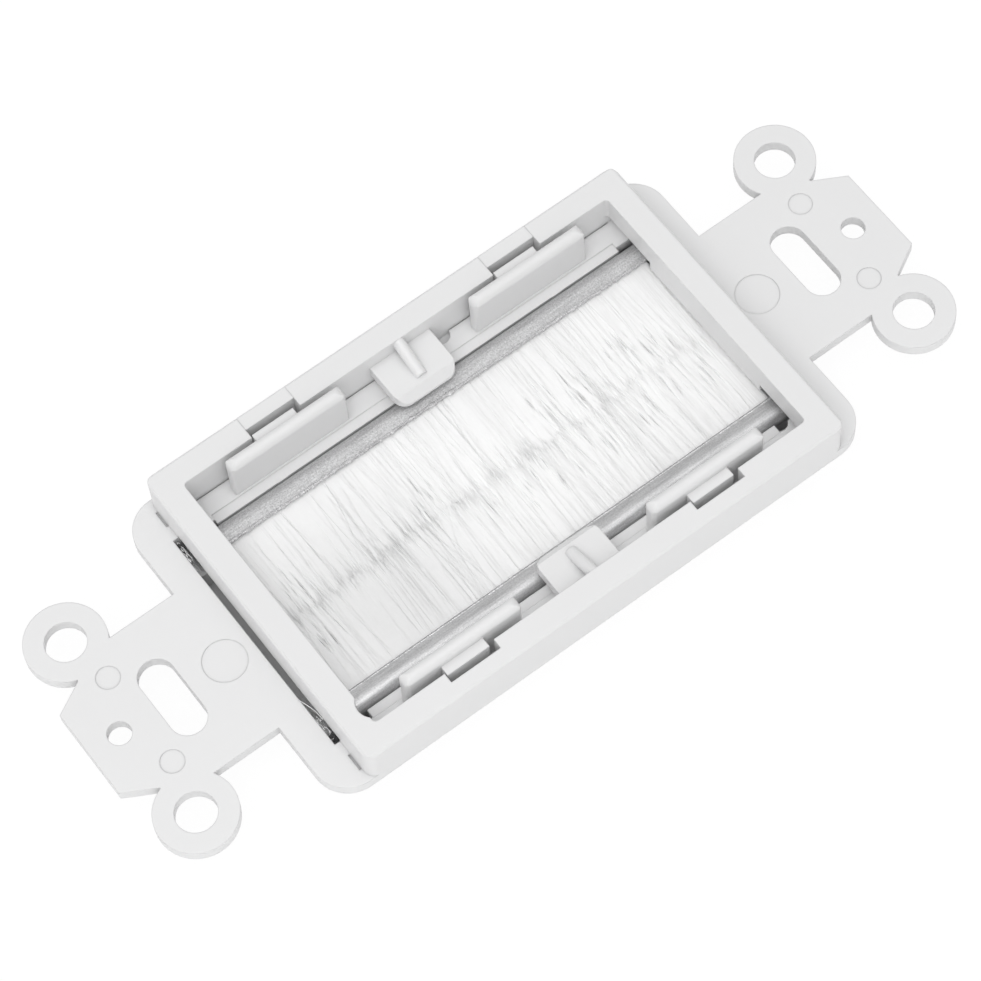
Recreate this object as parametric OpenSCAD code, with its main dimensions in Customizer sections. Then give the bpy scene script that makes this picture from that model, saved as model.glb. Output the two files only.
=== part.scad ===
// Brush wall plate: a single gang cable pass-through insert, seen from its rear.
// X runs along the plate, Y runs across it, and Z points to the rear, toward the wall box.
// The origin is under the middle of the plate, on the front face of the bezel.

/* [Strap] */
// Centre distance of the two cover screw holes
cover_screw_spacing = 96.84; // [94:0.01:100]
// Centre distance of the two box screw slots
box_slot_spacing = 83.6; // [82:0.01:85]
// Length of strap past the middle of each cover screw hole
nose_margin = 3.78; // [2.8:0.01:5]
// Width of the strap between the flange and the ears
neck_width = 19.1; // [17:0.1:19.3]
// Width of the straight nose edge at each end
nose_width = 10.9; // [8:0.1:13]
// Thickness of the strap and of the flange
strap_thickness = 1.5; // [1.2:0.1:2]
// Bore of the cover screw holes, ready for a 6-32 thread
cover_screw_bore = 2.67; // [2.4:0.01:3.5]
// Length of the box screw slots, across the strap
box_slot_length = 9.8; // [7:0.1:10]
// Width of the box screw slots, along the strap
box_slot_width = 4.1; // [4.1:0.1:5.2]

/* [Ears] */
// Distance along the strap from each cover screw hole back to the ears beside it
ear_setback = 1.32; // [0.6:0.01:2]
// Centre distance of the ears across the strap
ear_spacing_across = 23.92; // [23.5:0.01:26]
// Outer diameter of each ear ring
ear_ring_diameter = 9.1; // [8:0.1:10]
// Bore of each ear ring
ear_bore = 4.54; // [3.5:0.01:4.6]

/* [Flange] */
// How far the flange, the wide middle of the strap, reaches past each end of the rear frame
flange_end_margin = 3.9; // [3.3:0.05:4.5]
// How far the flange stands out beyond each long wall of the rear frame
flange_margin = 0; // [0:0.1:2]
// Corner radius of the flange
flange_corner_radius = 4.1; // [1:0.1:6]
// Width of the slot between each end wall and the end of the opening through the flange
end_slot_width = 0.65; // [0.4:0.05:0.9]
// How far the middle of the flange lies toward one end of the plate
flange_shift = 0.2; // [0:0.05:0.3]
// Width of the ledge between each long wall and the opening through the flange
ledge_width = 2.45; // [2.2:0.05:2.7]
// Reach of the ledge corners over the ends of the channels
ledge_corner_reach = 0.65; // [0.35:0.05:0.85]
// Radius of the round bite in two of the ledge corners
ledge_bite_radius = 1; // [0.6:0.05:1.1]

/* [Rear frame] */
// Length of the raised rear frame
frame_length = 61.9; // [61.5:0.1:62.2]
// Width of the raised rear frame
frame_width = 40.2; // [39:0.1:40.2]
// Height of the rear frame above the flange
frame_height = 5; // [4.8:0.1:6]
// Outer corner radius of the rear frame
frame_corner_radius = 1.2; // [0.6:0.1:2.5]
// Chamfer round the upper outer edge of the rear frame
frame_chamfer = 0.25; // [0.1:0.05:0.5]
// Thickness of the two long walls
side_wall_thickness = 3; // [2.5:0.1:3.2]
// Width of the two end lintels
lintel_width = 3.05; // [2.5:0.05:4]
// Thickness of the end lintels, under which the bristle ends pass
lintel_thickness = 4.65; // [3.6:0.05:4.7]
// Rise of the lintels' underside over the channels and the ledges
lintel_arch_rise = 1.25; // [0.4:0.05:2]
// Thickness of the skin at the outer end of each lintel
end_skin_thickness = 1.2; // [0.8:0.1:1.6]
// Radius of the recess's inner corners
recess_corner_radius = 0.5; // [0.2:0.1:1]
// Radius of the round relief in one inner corner
corner_relief_radius = 1.95; // [1:0.05:2.5]

/* [Bezel] */
// How far the front bezel, which fills the cover's window, reaches past each end of the rear frame
bezel_end_reach = 2.4; // [2.1:0.05:2.8]
// Thickness of the bezel's long walls
bezel_wall = 1.7; // [1.4:0.05:2]
// Distance from the bezel's front face to the strap's front face
bezel_depth = 5.6; // [5.4:0.1:7]
// Chamfer round the bezel's front face
bezel_chamfer = 0.6; // [0.2:0.1:1]
// Thickness of the bezel's front face
face_thickness = 1.8; // [1.2:0.1:2.4]
// Distance from each end of the rear frame in to the cable window
window_end_setback = 2.65; // [2.5:0.05:6]
// How far the mouth of each channel stands back from the edge of the cable window
mouth_setback = 0.33; // [0.1:0.01:0.7]
// Thickness of the collar round the cable window
collar_thickness = 1.2; // [0.8:0.1:1.4]

/* [Snap clips] */
// Distance of the clips' centres from the middle of the plate
clip_offset = 15.85; // [14:0.05:17]
// Length of each clip plate along the wall
clip_length = 14.8; // [10:0.1:15.6]
// Thickness of each clip plate
clip_thickness = 1.6; // [1.2:0.05:1.8]
// Height of the clips' rounded top above the flange
clip_height = 6.2; // [5.4:0.05:6.8]
// How far each clip leans toward the window
clip_lean = 0.25; // [0:0.05:0.5]
// Rounding of the upper corners of each clip, seen from the window
clip_corner_radius = 1.1; // [0.6:0.1:1.6]
// Gap between the back of a clip and the long wall
clip_back_gap = 0.85; // [0.5:0.05:1]
// Length of each clip's stem along the wall
clip_stem_length = 5.3; // [4:0.1:5.6]
// Shift of each stem toward one end of its notch
clip_stem_shift = 0.4; // [0:0.05:0.4]
// Thickness of each clip's stem
clip_stem_thickness = 1.45; // [1.4:0.05:1.6]
// Height of each clip's stem above the flange
clip_stem_height = 4.9; // [4.2:0.1:5]
// Length of the wall notch behind each stem
clip_notch_length = 6.25; // [6.2:0.05:7.5]
// Shift of each notch toward one end of the plate
clip_notch_shift = 0.1; // [0:0.05:0.15]
// Depth of the wall notch behind each stem
clip_notch_depth = 1.2; // [0.9:0.1:1.5]
// Depth of the two pockets in the flange beside each stem
clip_pocket_depth = 1; // [0.5:0.1:1.2]
// Step down of the wall's top outside two of the notches
notch_top_step = 0.1; // [0.05:0.01:0.3]

/* [Tongues] */
// Width of the retaining tongue in the middle of each long wall
tongue_width = 7.85; // [5:0.05:9]
// Reach of the tongue from the wall
tongue_reach = 5.6; // [4.5:0.1:6]
// Thickness of the tongue
tongue_thickness = 1.5; // [1:0.1:1.8]
// Height of the tongue's underside above the flange
tongue_clearance = 1.4; // [1:0.1:1.6]
// Slope across the tongue's front edge
tongue_nose = 0.85; // [0.3:0.05:1]
// Radius of the tongue's front corners
tongue_corner = 1.5; // [0.3:0.1:2]
// Thickness of the round-backed rib on the tongue
rib_thickness = 1.4; // [0.8:0.1:1.6]
// Reach of the rib from the wall
rib_reach = 4.1; // [2.5:0.1:4.4]
// Height of the rib's free end above the tongue
rib_front_rise = 0.4; // [0.2:0.05:0.7]

/* [Brush strips] */
// Gap between each end of a channel and the end of the flange's opening
channel_end_gap = 0.8; // [0.4:0.05:1.2]
// Height of the metal channels
channel_height = 2.7; // [2.4:0.1:3]
// Width of the metal channels, mouth to back
channel_width = 2.7; // [2.5:0.1:2.75]
// Sheet thickness of the metal channels
channel_sheet = 0.35; // [0.25:0.05:0.4]
// Slope of the two jaws, which close toward the mouth, in degrees
jaw_angle = 10; // [4:0.5:18]
// Rise of the channels above the flange's rear face
channel_rise = 0.45; // [0.1:0.05:0.7]
// Diameter of the core wire that the bristles fold round
core_wire_diameter = 0.9; // [0.6:0.1:1]
// Distance from each end of the channels back to the bristles
bristle_end_setback = 2.4; // [1.7:0.1:6]
// Spacing of the bristle tufts
tuft_pitch = 0.62; // [0.5:0.01:1.2]
// Slit between one tuft and the next
tuft_slit = 0.07; // [0.04:0.01:0.15]
// Unevenness of the bristle tips
tip_scatter = 0.7; // [0:0.1:1.5]

/* [Fits] */
// Step from the edge of the flange's opening in to the locating ribs
rib_overhang = 1.15; // [1:0.05:1.3]
// Gap between a channel's back and its locating rib
channel_back_gap = 0.07; // [0.04:0.01:0.1]
// Gap between a channel and the end skin above it
channel_top_gap = 0.05; // [0.02:0.01:0.1]
// Gap between a channel and the collar below it
channel_seat_gap = 0.02; // [0.01:0.01:0.05]
// Gap between the bristles and the metal round them
bristle_gap = 0.02; // [0.01:0.01:0.05]
// Gap left between the two rows of bristle tips
tip_gap = 0.1; // [0.05:0.01:0.4]

/* [Small details] */
// Diameter of the large moulding mark on each end of the strap
large_mark_diameter = 4.9; // [3:0.1:5.4]
// Distance of the large moulding marks from the ends of the rear frame
large_mark_setback = 4.2; // [3.8:0.05:4.4]
// Diameter of the four small moulding marks
small_mark_diameter = 2.65; // [1.5:0.05:2.8]
// Distance of the small moulding marks from the middle, along the strap
small_mark_along = 45.85; // [45.6:0.05:46.2]
// Distance of the small moulding marks from the middle, across the strap
small_mark_across = 5.9; // [5.7:0.05:6.2]
// Depth of the moulding marks
mark_depth = 0.12; // [0.05:0.01:0.3]
// Radius of the half-round marks beside the tongues
half_round_radius = 1.1; // [0.5:0.1:1.4]
// Depth of the half-round marks
half_round_depth = 0.7; // [0.3:0.1:1]
// Length of the short slits at the corners of the rear frame
slit_length = 2.1; // [1:0.1:2.2]
// Width of the short slits
slit_width = 0.25; // [0.15:0.05:0.5]
// Depth of the short slits
slit_depth = 0.35; // [0.2:0.05:0.8]
// Width of the fine groove along the foot of each long wall
foot_groove_width = 0.12; // [0.08:0.01:0.2]
// Depth of that groove
foot_groove_depth = 0.3; // [0.1:0.05:0.6]
// Distance of the small crush ribs from the middle of the plate
crush_rib_offset = 18.2; // [16:0.1:20]
// Length of each crush rib
crush_rib_length = 1.4; // [0.8:0.1:2]

/* [Hidden] */
$fn = 64;
// Overlap that joins solids and clears cuts
eps = 0.01;
cut = 1;
// Levels, from the front face upward
strap_front = bezel_depth;
strap_rear = strap_front + strap_thickness;
frame_top = strap_rear + frame_height;
// Rear frame
side_wall_inner = frame_width / 2 - side_wall_thickness;
flange_width = frame_width + 2 * flange_margin;
flange_length = frame_length + 2 * flange_end_margin;
flange_opening_length = frame_length + 2 * end_slot_width;
window_length = frame_length - 2 * window_end_setback;
bezel_length = frame_length + 2 * bezel_end_reach;
large_mark_offset = frame_length / 2 + large_mark_setback;
flange_opening_half = side_wall_inner - ledge_width;
ledge_corner_inner = flange_opening_half - ledge_corner_reach;
recess_half_length = frame_length / 2 - lintel_width;
skin_outer = frame_length / 2;
skin_inner = skin_outer - end_skin_thickness;
lintel_underside = frame_top - lintel_thickness;
// Channels: the back is a half round, and the mouth faces the middle of the plate
channel_radius = channel_height / 2;
channel_length = flange_opening_length - 2 * channel_end_gap;
rib_inner = flange_opening_half - rib_overhang;
rib_end_setback = 1.2;
rib_half_length = recess_half_length - rib_end_setback;
rib_step = 0.15;
channel_back = rib_inner - channel_back_gap;
channel_mouth = channel_back - channel_width;
channel_round_y = channel_back - channel_radius;
channel_top = strap_rear + channel_rise;
channel_middle = channel_top - channel_radius;
channel_bottom = channel_top - channel_height;
channel_inner_radius = channel_radius - channel_sheet;
jaw_length = channel_width - channel_radius;
mouth_half_gap = channel_inner_radius / cos(jaw_angle) - jaw_length * tan(jaw_angle);
// Strip ends pass through wider parts of the flange opening
strip_pass_gap = 0.83;
strip_pass_inner = channel_mouth - strip_pass_gap;
lintel_arch_gap = 1.23;
lintel_arch_inner = channel_mouth - lintel_arch_gap;
collar_top = channel_bottom - channel_seat_gap;
collar_rail = 2;
window_half_width = channel_mouth - mouth_setback;
// Bezel, a little wider inside than the flange's opening
bezel_undercut = 0.3;
bezel_inner_length = flange_opening_length;
bezel_inner_half = flange_opening_half + bezel_undercut;
bezel_width = 2 * (bezel_inner_half + bezel_wall);
// Ledge corners beyond the locating ribs
bite_x = rib_half_length + 0.5;
bite_y = flange_opening_half - ledge_bite_radius;
// Strap ends, tied to the cover screws
strap_half_length = cover_screw_spacing / 2 + nose_margin;
ear_along = cover_screw_spacing / 2 - ear_setback;
ear_across = ear_spacing_across / 2;
// Clips
clip_back = side_wall_inner - clip_back_gap;
clip_front = clip_back - clip_thickness;
clip_stem_outer = side_wall_inner + 0.3;
clip_stem_inner = clip_stem_outer - clip_stem_thickness;
clip_plan_radius = 0.55;
// Tongues
tongue_front = side_wall_inner - tongue_reach;
half_round_x = 5.15;
rib_radius = rib_thickness / 2;
rib_axis_rear = frame_height - 0.05 - rib_radius;
rib_axis_front = tongue_clearance + tongue_thickness + rib_front_rise - rib_radius;
rib_fall = atan2(rib_axis_rear - rib_axis_front, rib_reach);
crush_rib_gap = 0.02;
// Bristles
bristle_row_length = channel_length - 2 * bristle_end_setback;
tuft_count = floor(bristle_row_length / tuft_pitch);
tuft_half_layer = mouth_half_gap - bristle_gap;
root_radius = channel_inner_radius - bristle_gap;

// Repeats children at plus and minus X
module both_ends() {
    children();
    mirror([1, 0, 0]) children();
}

// Repeats children at plus and minus Y
module both_sides() {
    children();
    mirror([0, 1, 0]) children();
}

// Block centred on X and Y, from one level to another
module block(length, width, low, high) {
    translate([-length / 2, -width / 2, low]) cube([length, width, high - low]);
}

// Plate with round corners, centred on X and Y
module round_plate(length, width, radius, low, high) {
    block(length - 2 * radius, width, low, high);
    block(length, width - 2 * radius, low, high);
    both_ends() both_sides() {
        translate([length / 2 - radius, width / 2 - radius, low]) cylinder(r = radius, h = high - low);
    }
}

// Extrudes a Y, Z outline along X, centred on X
module along_x(length) {
    translate([-length / 2, 0, 0]) rotate([90, 0, 90]) linear_extrude(height = length) children();
}

// Extrudes an X, Z outline along Y, centred on Y
module along_y(length) {
    translate([0, length / 2, 0]) rotate([90, 0, 0]) linear_extrude(height = length) children();
}

// One end of the strap, with its nose and its two ears
module strap_end() {
    start = flange_length / 2 - flange_corner_radius;
    waist = ear_along + 1.5;
    waist_half = 7.45;
    translate([0, 0, strap_front]) {
        linear_extrude(height = strap_thickness) {
            polygon([
                [start, neck_width / 2],
                [ear_along, neck_width / 2],
                [waist, waist_half],
                [strap_half_length, nose_width / 2],
                [strap_half_length, -nose_width / 2],
                [waist, -waist_half],
                [ear_along, -neck_width / 2],
                [start, -neck_width / 2]
            ]);
        }
        both_sides() {
            translate([ear_along, ear_across, 0]) cylinder(d = ear_ring_diameter, h = strap_thickness);
        }
    }
}

// Holes, slots and moulding marks of one end of the strap
module strap_end_cuts() {
    low = strap_front - cut;
    depth = strap_thickness + 2 * cut;
    slot_straight = box_slot_length - box_slot_width;
    translate([cover_screw_spacing / 2, 0, low]) cylinder(d = cover_screw_bore, h = depth);
    both_sides() {
        translate([ear_along, ear_across, low]) cylinder(d = ear_bore, h = depth);
        translate([small_mark_along, small_mark_across, strap_rear - mark_depth]) {
            cylinder(d = small_mark_diameter, h = cut);
        }
        translate([box_slot_spacing / 2, slot_straight / 2, low]) cylinder(d = box_slot_width, h = depth);
    }
    translate([box_slot_spacing / 2 - box_slot_width / 2, -slot_straight / 2, low]) {
        cube([box_slot_width, slot_straight, depth]);
    }
    translate([large_mark_offset, 0, strap_rear - mark_depth]) cylinder(d = large_mark_diameter, h = cut);
}

// Hollow bezel that stands in the cover's window
module bezel_solid() {
    c = bezel_chamfer;
    intersection() {
        along_x(bezel_length) {
            polygon([
                [-bezel_width / 2 + c, 0],
                [bezel_width / 2 - c, 0],
                [bezel_width / 2, c],
                [bezel_width / 2, bezel_depth + eps],
                [-bezel_width / 2, bezel_depth + eps],
                [-bezel_width / 2, c]
            ]);
        }
        along_y(bezel_width) {
            polygon([
                [-bezel_length / 2 + c, 0],
                [bezel_length / 2 - c, 0],
                [bezel_length / 2, c],
                [bezel_length / 2, bezel_depth + eps],
                [-bezel_length / 2, bezel_depth + eps],
                [-bezel_length / 2, c]
            ]);
        }
    }
}

// Collar round the cable window, whose long sides carry the channels
module window_collar() {
    rail_outer = window_half_width + collar_rail;
    difference() {
        block(window_length + 2 * collar_thickness, 2 * rail_outer, face_thickness - eps, collar_top);
        block(window_length, 2 * window_half_width, face_thickness - cut, collar_top + cut);
    }
    both_sides() {
        translate([-bezel_inner_length / 2 - eps, window_half_width, face_thickness - eps]) {
            cube([bezel_inner_length + 2 * eps, collar_rail, collar_top - face_thickness + eps]);
        }
    }
}

// Rib behind each channel, with small crush ribs that nearly touch it
module locating_ribs() {
    width = bezel_inner_half - rib_inner + eps;
    crush_y = channel_back + crush_rib_gap;
    both_sides() {
        translate([-rib_half_length, rib_inner, face_thickness - eps]) {
            cube([2 * rib_half_length, width, strap_rear - rib_step - face_thickness]);
        }
        both_ends() {
            translate([crush_rib_offset - crush_rib_length / 2, crush_y, collar_top]) {
                cube([crush_rib_length, rib_inner + eps - crush_y, strap_rear - rib_step - collar_top]);
            }
        }
    }
}

// Ledge corners over the channel ends, two of them with a round bite
module ledge_corners() {
    inner = ledge_corner_inner;
    difference() {
        both_ends() both_sides() {
            translate([rib_half_length - eps, inner, strap_front]) {
                cube([skin_inner - rib_half_length, flange_opening_half - inner + eps, strap_thickness]);
            }
        }
        both_ends() {
            translate([bite_x, -bite_y, strap_front - cut]) {
                cylinder(r = ledge_bite_radius, h = strap_thickness + 2 * cut);
            }
        }
    }
}

// Plate of the rear frame, with its upper outer edge chamfered
module frame_plate() {
    c = frame_chamfer;
    low = strap_rear - eps;
    intersection() {
        round_plate(frame_length, frame_width, frame_corner_radius, low, frame_top);
        along_x(frame_length) {
            polygon([
                [-frame_width / 2, low],
                [frame_width / 2, low],
                [frame_width / 2, frame_top - c],
                [frame_width / 2 - c, frame_top],
                [-frame_width / 2 + c, frame_top],
                [-frame_width / 2, frame_top - c]
            ]);
        }
        along_y(frame_width) {
            polygon([
                [-frame_length / 2, low],
                [frame_length / 2, low],
                [frame_length / 2, frame_top - c],
                [frame_length / 2 - c, frame_top],
                [-frame_length / 2 + c, frame_top],
                [-frame_length / 2, frame_top - c]
            ]);
        }
    }
}

// Raised frame at the rear, open under its two end lintels
module rear_frame() {
    difference() {
        frame_plate();
        round_plate(
            2 * recess_half_length,
            2 * side_wall_inner,
            recess_corner_radius,
            strap_rear - cut,
            frame_top + cut
        );
        block(2 * skin_inner, 2 * side_wall_inner, strap_rear - cut, lintel_underside);
        both_ends() both_sides() {
            translate([recess_half_length - cut, lintel_arch_inner, strap_rear - cut]) {
                cube([
                    skin_inner - recess_half_length + cut,
                    side_wall_inner - lintel_arch_inner,
                    lintel_underside + lintel_arch_rise - strap_rear + cut
                ]);
            }
        }
        translate([-recess_half_length + 1.4, -side_wall_inner + 2.1, strap_rear - cut]) {
            cylinder(r = corner_relief_radius, h = frame_height + 2 * cut);
        }
        at_clips() {
            translate([-clip_notch_length / 2 - clip_notch_shift, side_wall_inner - eps, strap_rear - cut]) {
                cube([clip_notch_length, clip_notch_depth + eps, frame_height + 2 * cut]);
            }
        }
        for (x = [-clip_offset, clip_offset]) {
            notch_start = x - clip_notch_length / 2 - clip_notch_shift;
            translate([notch_start, side_wall_inner - eps, frame_top - notch_top_step]) {
                cube([clip_notch_length, side_wall_thickness + cut, cut]);
            }
        }
        both_ends() {
            translate([skin_inner - cut, -strip_pass_inner - eps, strap_rear - cut]) {
                cube([
                    end_skin_thickness + 2 * cut,
                    2 * (strip_pass_inner + eps),
                    lintel_underside - strap_rear + cut
                ]);
            }
            both_sides() {
                translate([skin_inner - cut, strip_pass_inner, strap_rear - cut]) {
                    cube([
                        end_skin_thickness + 2 * cut,
                        flange_opening_half - strip_pass_inner,
                        cut + channel_rise + channel_top_gap
                    ]);
                }
            }
        }
    }
}

// Puts a child at each of the four snap clips, all turned the same way along X
module at_clips() {
    for (x = [-clip_offset, clip_offset]) {
        translate([x, 0, 0]) both_sides() children();
    }
}

// One snap clip: an upright plate on the ledge, with a stem that stands in the wall notch
module snap_clip() {
    translate([0, 0, strap_rear]) {
        translate([-clip_stem_length / 2 - clip_stem_shift, clip_stem_inner, -eps]) {
            cube([clip_stem_length, clip_stem_thickness, clip_stem_height]);
        }
        intersection() {
            along_x(clip_length) clip_section();
            translate([0, clip_back - clip_thickness / 2, 0]) along_y(clip_thickness) clip_face();
            clip_plan();
        }
    }
}

// Section of a clip plate across the plate, leaning to the window, with a round top
module clip_section() {
    r = clip_thickness / 2;
    polygon([
        [clip_front + clip_lean, -eps],
        [clip_front, clip_height - r],
        [clip_back, clip_height - r],
        [clip_back, -eps]
    ]);
    translate([clip_back - r, clip_height - r]) circle(r = r);
}

// Outline of a clip plate along the wall, with rounded upper corners
module clip_face() {
    r = clip_corner_radius;
    half = clip_length / 2;
    polygon([
        [-half, -eps],
        [-half, clip_height - r],
        [-half + r, clip_height],
        [half - r, clip_height],
        [half, clip_height - r],
        [half, -eps]
    ]);
    translate([-half + r, clip_height - r]) circle(r = r);
    translate([half - r, clip_height - r]) circle(r = r);
}

// Plan outline of a clip plate, with its upright edges rounded
module clip_plan() {
    translate([0, clip_back - clip_thickness / 2, 0]) {
        round_plate(clip_length, clip_thickness, clip_plan_radius, -2 * eps, clip_height + eps);
    }
}

// Pockets in the flange at both ends of a clip's stem
module clip_pockets() {
    low = strap_rear - clip_pocket_depth;
    difference() {
        translate([-clip_notch_length / 2 - clip_notch_shift, side_wall_inner, low]) {
            cube([clip_notch_length, clip_notch_depth, clip_pocket_depth + cut]);
        }
        translate([-clip_stem_length / 2 - clip_stem_shift, side_wall_inner - cut, low - cut]) {
            cube([clip_stem_length, clip_notch_depth + 2 * cut, clip_pocket_depth + 3 * cut]);
        }
    }
}

// Retaining tongue in the middle of a long wall, with its round-backed rib
module tongue() {
    root = side_wall_inner + 0.5;
    low = tongue_clearance;
    high = tongue_clearance + tongue_thickness;
    translate([0, 0, strap_rear]) {
        intersection() {
            along_x(tongue_width) {
                polygon([
                    [root, low],
                    [root, high],
                    [tongue_front + tongue_nose, high],
                    [tongue_front, low + 0.4],
                    [tongue_front, low]
                ]);
            }
            tongue_plan(root);
        }
        tongue_rib(root, high);
    }
}

// Plan outline of a tongue, with its two front corners rounded
module tongue_plan(root) {
    r = tongue_corner;
    reach = root - tongue_front;
    translate([-tongue_width / 2 + r, tongue_front, 0]) cube([tongue_width - 2 * r, reach, frame_height]);
    translate([-tongue_width / 2, tongue_front + r, 0]) cube([tongue_width, reach - r, frame_height]);
    both_ends() {
        translate([tongue_width / 2 - r, tongue_front + r, 0]) cylinder(r = r, h = frame_height);
    }
}

// Rib that falls from the wall toward the tongue's front, with a round back
module tongue_rib(root, high) {
    front = side_wall_inner - rib_reach;
    axis_root = rib_axis_rear + (root - side_wall_inner) * tan(rib_fall);
    along_x(rib_thickness) {
        polygon([[root, high - eps], [root, rib_axis_rear], [front, rib_axis_front], [front, high - eps]]);
    }
    intersection() {
        translate([0, root, axis_root]) rotate([90 + rib_fall, 0, 0]) cylinder(r = rib_radius, h = 2 * rib_reach);
        translate([-rib_thickness, front, high - rib_thickness]) {
            cube([2 * rib_thickness, root - front, frame_height - 0.05 - high + rib_thickness]);
        }
    }
}

// Half-round marks beside the tongues, foot grooves and short slits outside the frame's corners
module ledge_marks() {
    both_sides() {
        translate([-recess_half_length, side_wall_inner - foot_groove_width, strap_rear - foot_groove_depth]) {
            cube([2 * recess_half_length, foot_groove_width, foot_groove_depth + cut]);
        }
    }
    for (turn = [0, 180]) {
        rotate([0, 0, turn]) {
            translate([half_round_x, side_wall_inner - eps, strap_rear - half_round_depth]) {
                intersection() {
                    cylinder(r = half_round_radius, h = half_round_depth + eps);
                    translate([-half_round_radius, -half_round_radius, 0]) {
                        cube([2 * half_round_radius, half_round_radius, half_round_depth + eps]);
                    }
                }
            }
        }
    }
    both_ends() both_sides() {
        translate([skin_outer + 0.02, frame_width / 2 - 1.6 - slit_length, strap_rear - slit_depth]) {
            cube([slit_width, slit_length, slit_depth + cut]);
        }
    }
}

// The moulded plastic frame, one piece
module mounting_frame() {
    color("whitesmoke") {
        difference() {
            union() {
                difference() {
                    union() {
                        translate([-flange_shift, 0, 0]) {
                            round_plate(flange_length, flange_width, flange_corner_radius, strap_front, strap_rear);
                        }
                        both_ends() strap_end();
                        bezel_solid();
                    }
                    block(flange_opening_length, 2 * flange_opening_half, face_thickness, strap_rear + cut);
                    block(bezel_inner_length, 2 * bezel_inner_half, face_thickness, strap_front);
                    block(window_length, 2 * window_half_width, -cut, face_thickness + cut);
                    both_ends() strap_end_cuts();
                }
                window_collar();
                locating_ribs();
                ledge_corners();
                rear_frame();
            }
            ledge_marks();
            at_clips() clip_pockets();
        }
        at_clips() snap_clip();
        both_sides() tongue();
    }
}

// Outline of a round back with two straight jaws that close toward the mouth
module jaw_outline(radius, reach) {
    touch_y = channel_round_y - radius * sin(jaw_angle);
    touch_z = radius * cos(jaw_angle);
    mouth_z = radius / cos(jaw_angle) - reach * tan(jaw_angle);
    translate([0, channel_middle]) {
        translate([channel_round_y, 0]) circle(r = radius);
        polygon([
            [channel_round_y, 0],
            [touch_y, touch_z],
            [channel_round_y - reach, mouth_z],
            [channel_round_y - reach, -mouth_z],
            [touch_y, -touch_z]
        ]);
    }
}

// Metal channel on the plus Y side: sheet folded to a round back and two jaws
module brush_channel() {
    difference() {
        along_x(channel_length) jaw_outline(channel_radius, jaw_length);
        along_x(channel_length + 2 * cut) jaw_outline(channel_inner_radius, jaw_length + cut);
    }
}

module brush_channel_left() {
    color("silver") brush_channel();
}

module brush_channel_right() {
    color("silver") mirror([0, 1, 0]) brush_channel();
}

// Core wire on the plus Y side
module core_wire() {
    translate([-channel_length / 2, channel_round_y, channel_middle]) {
        rotate([0, 90, 0]) cylinder(d = core_wire_diameter, h = channel_length);
    }
}

module core_wire_left() {
    color("darkgray") core_wire();
}

module core_wire_right() {
    color("darkgray") mirror([0, 1, 0]) core_wire();
}

// Free end of one tuft, uneven from tuft to tuft
function tip_y(i, phase) = tip_gap / 2 + tip_scatter * (0.5 + 0.5 * sin(i * 137.5 + phase) * cos(i * 61 + phase));

// Outline of one layer of tufts, joined at their root
function comb_points(phase, root) = concat(
    [[-bristle_row_length / 2, root]],
    [for (i = [0 : tuft_count - 1]) each
        let (x = -bristle_row_length / 2 + i * tuft_pitch)
        [
            [x, tip_y(i, phase)],
            [x + tuft_pitch - tuft_slit, tip_y(i, phase)],
            [x + tuft_pitch - tuft_slit, root - 0.4],
            [x + tuft_pitch, root - 0.4]
        ]
    ],
    [[-bristle_row_length / 2 + tuft_count * tuft_pitch, root]]
);

// One layer of tufts between two levels
module tuft_layer(low, high, phase) {
    translate([0, 0, low]) linear_extrude(height = high - low) polygon(comb_points(phase, channel_round_y));
}

// Bristles on the plus Y side, folded round the core wire and held by the channel's lips
module bristles() {
    difference() {
        union() {
            tuft_layer(channel_middle, channel_middle + tuft_half_layer, 0);
            tuft_layer(channel_middle - tuft_half_layer, channel_middle + eps, 70);
            translate([-bristle_row_length / 2, channel_round_y, channel_middle]) {
                rotate([0, 90, 0]) cylinder(r = root_radius, h = tuft_count * tuft_pitch);
            }
        }
        translate([-bristle_row_length / 2 - cut, channel_round_y, channel_middle]) {
            rotate([0, 90, 0]) {
                cylinder(d = core_wire_diameter + 2 * bristle_gap, h = bristle_row_length + 2 * cut);
            }
        }
    }
}

module bristles_left() {
    color("ghostwhite") bristles();
}

module bristles_right() {
    color("ghostwhite") mirror([0, 1, 0]) bristles();
}

mounting_frame();
brush_channel_left();
brush_channel_right();
core_wire_left();
core_wire_right();
bristles_left();
bristles_right();
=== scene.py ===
"""Looks of the brush wall plate, lying on its front bezel and seen from its rear.

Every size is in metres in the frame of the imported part: X along the plate, Y across it and Z to
the rear. The left strip is the one on the plus Y side.
"""

import logging
import math
from dataclasses import dataclass
from enum import Enum

import bpy
import numpy as np
from mathutils import Matrix, Vector

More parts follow.
